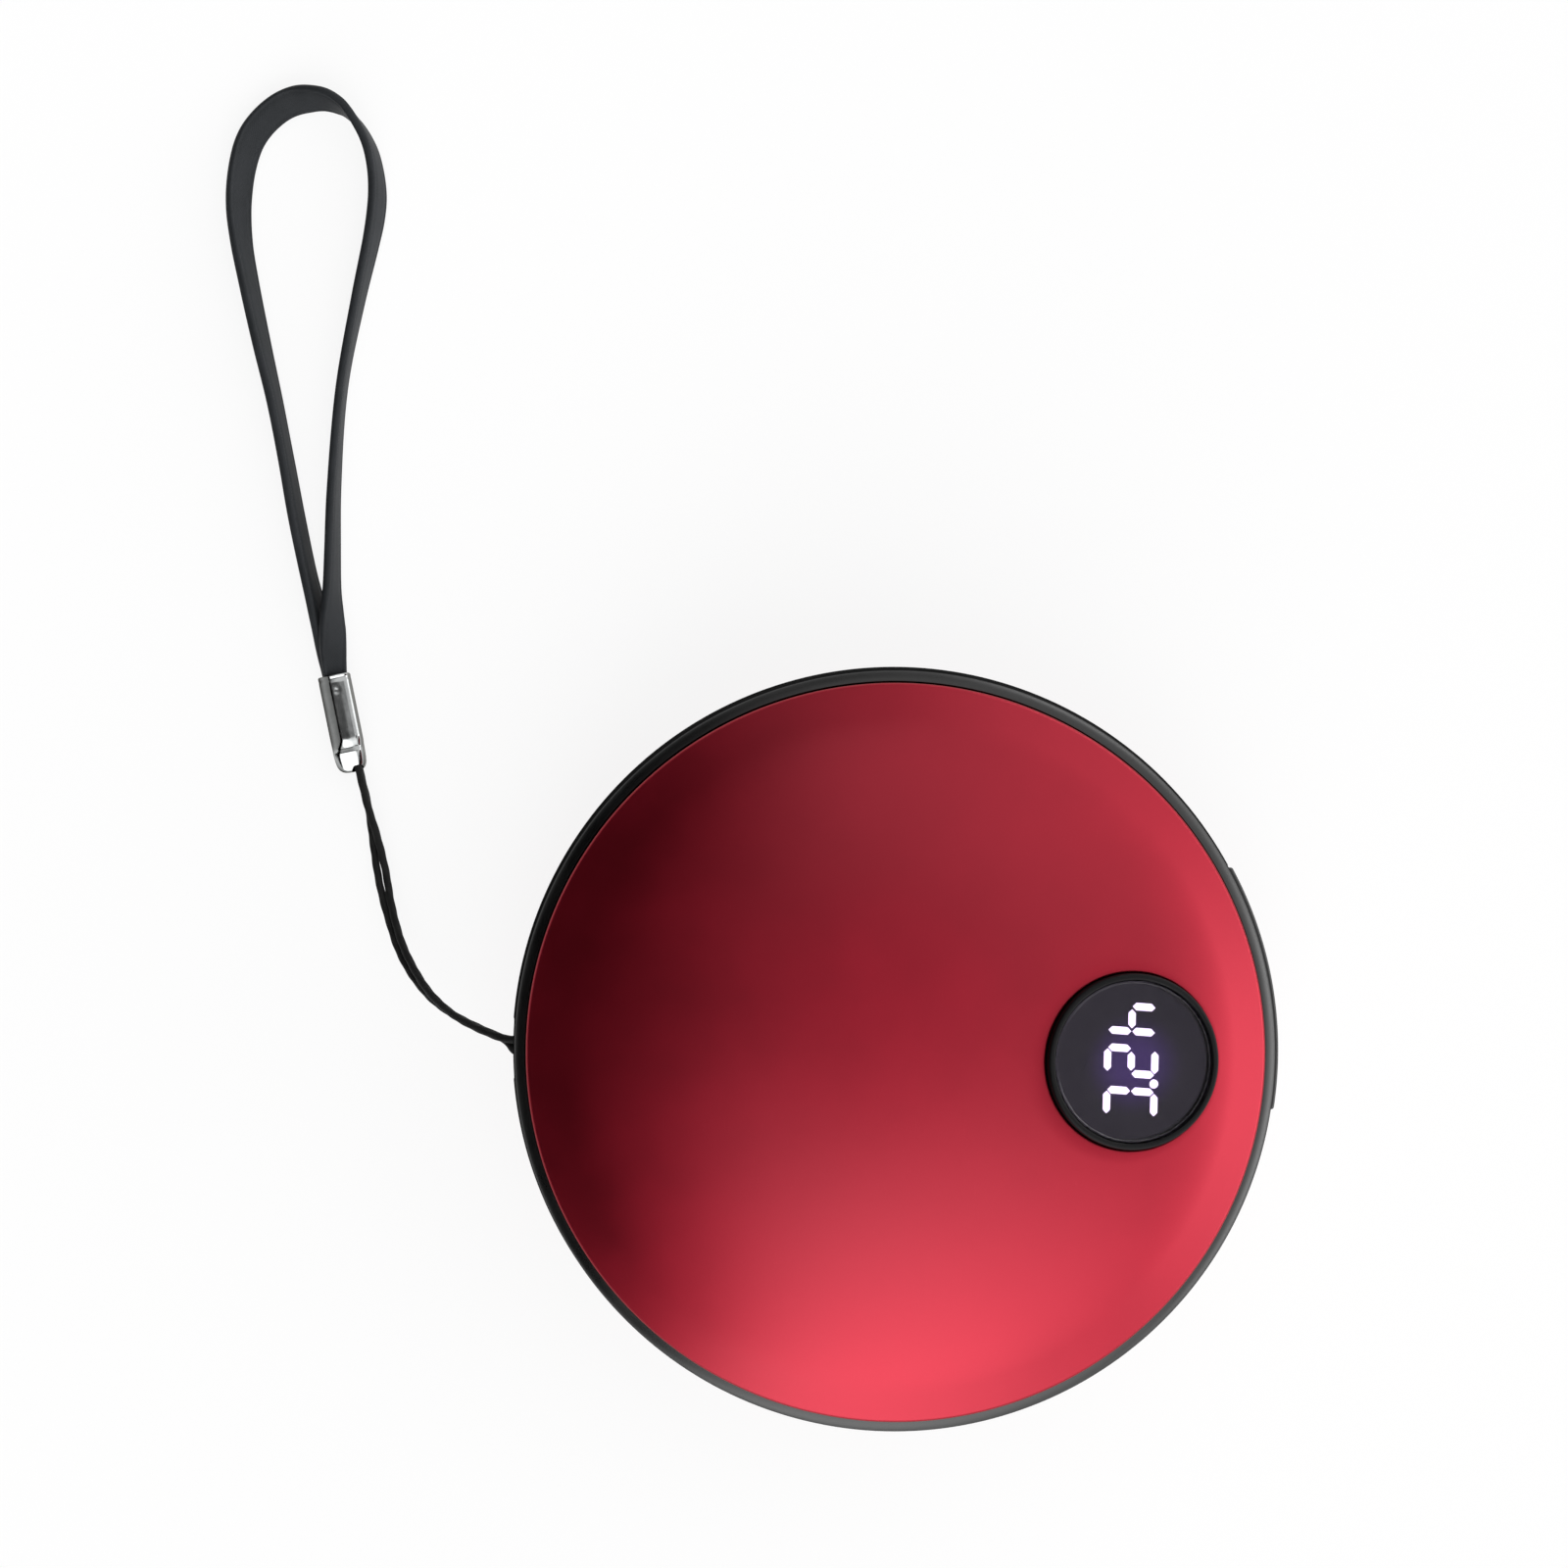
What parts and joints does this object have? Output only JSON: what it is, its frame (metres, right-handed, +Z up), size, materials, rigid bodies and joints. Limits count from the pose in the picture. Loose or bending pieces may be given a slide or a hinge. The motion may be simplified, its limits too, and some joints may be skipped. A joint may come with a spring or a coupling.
{
  "type": "electric hand warmer",
  "caption": "Round rechargeable hand warmer with metal domes, a black rim, a lit temperature window, a port panel, a power button and a wrist lanyard.",
  "frame": {"origin": "middle of the flat that the rear dome rests on", "axes": "+Z up out of the front dome, +X towards the temperature window, +Y away from the power button"},
  "size_m": [0.1118, 0.1435, 0.0311],
  "materials": {
    "red_metal": "red anodised, satin",
    "black_plastic": "black, fine satin",
    "smoked_lens": "dark smoked, polished",
    "lit_figures": "white light guide",
    "black_part": "black",
    "grey_plastic": "grey",
    "board": "green solder mask",
    "steel": "nickel plated",
    "white_plastic": "white",
    "ferrite": "dark grey",
    "foil": "silver laminate",
    "foam": "pale foam",
    "film": "amber film",
    "red_insulation": "red",
    "black_insulation": "black",
    "chrome": "bright plated",
    "cord": "black braid",
    "strap": "dark grey woven"
  },
  "bodies": {
    "body": {"front_shell": "red_metal", "rear_shell": "red_metal", "front_rim": "black_plastic", "rear_rim": "black_plastic", "port_panel": "black_plastic", "display_bezel": "black_plastic", "display_lens": "smoked_lens", "display_segments": "lit_figures", "display_mask": "black_part", "switch_body": "black_part", "controller_chip": "black_part", "charge_port_tongue": "black_part", "front_thermistor": "black_part", "rear_thermistor": "black_part", "chassis": "grey_plastic", "main_board": "board", "display_board": "board", "usb_a_shell": "steel", "charge_port_shell": "steel", "lanyard_pin": "steel", "rim_screw_1": "steel", "rim_screw_2": "steel", "rim_screw_3": "steel", "rim_screw_4": "steel", "board_screw_1": "steel", "board_screw_2": "steel", "usb_a_tongue": "white_plastic", "front_heater_lead": "white_plastic", "rear_heater_lead": "white_plastic", "inductor": "ferrite", "battery_cell": "foil", "battery_pad": "foam", "front_heater": "film", "rear_heater": "film", "display_cable": "film", "battery_lead_positive": "red_insulation", "battery_lead_negative": "black_insulation"},
    "button": {"power_button": "black_plastic"},
    "plunger": {"switch_plunger": "grey_plastic"},
    "lanyard": {"lanyard_cord": "cord", "lanyard_crimp": "chrome", "lanyard_strap": "strap"}
  },
  "joints": [
    {"name": "button_press", "type": "slide", "parent": "body", "child": "button", "axis": [0, 1, 0], "range_m": [0, 0.0005], "stiffness_N_per_m": 400},
    {"name": "plunger_press", "type": "slide", "parent": "body", "child": "plunger", "axis": [0, 1, 0], "range_m": [0, 0.0005]},
    {"name": "lanyard_swing", "type": "hinge", "parent": "body", "child": "lanyard", "pos_m": [-0.0372, 0, 0.0155], "axis": [0, 0, 1], "range_deg": [-28, 45]}
  ],
  "couplings": [
    {"joint": "plunger_press", "follows": "button_press", "ratio": 1}
  ]
}
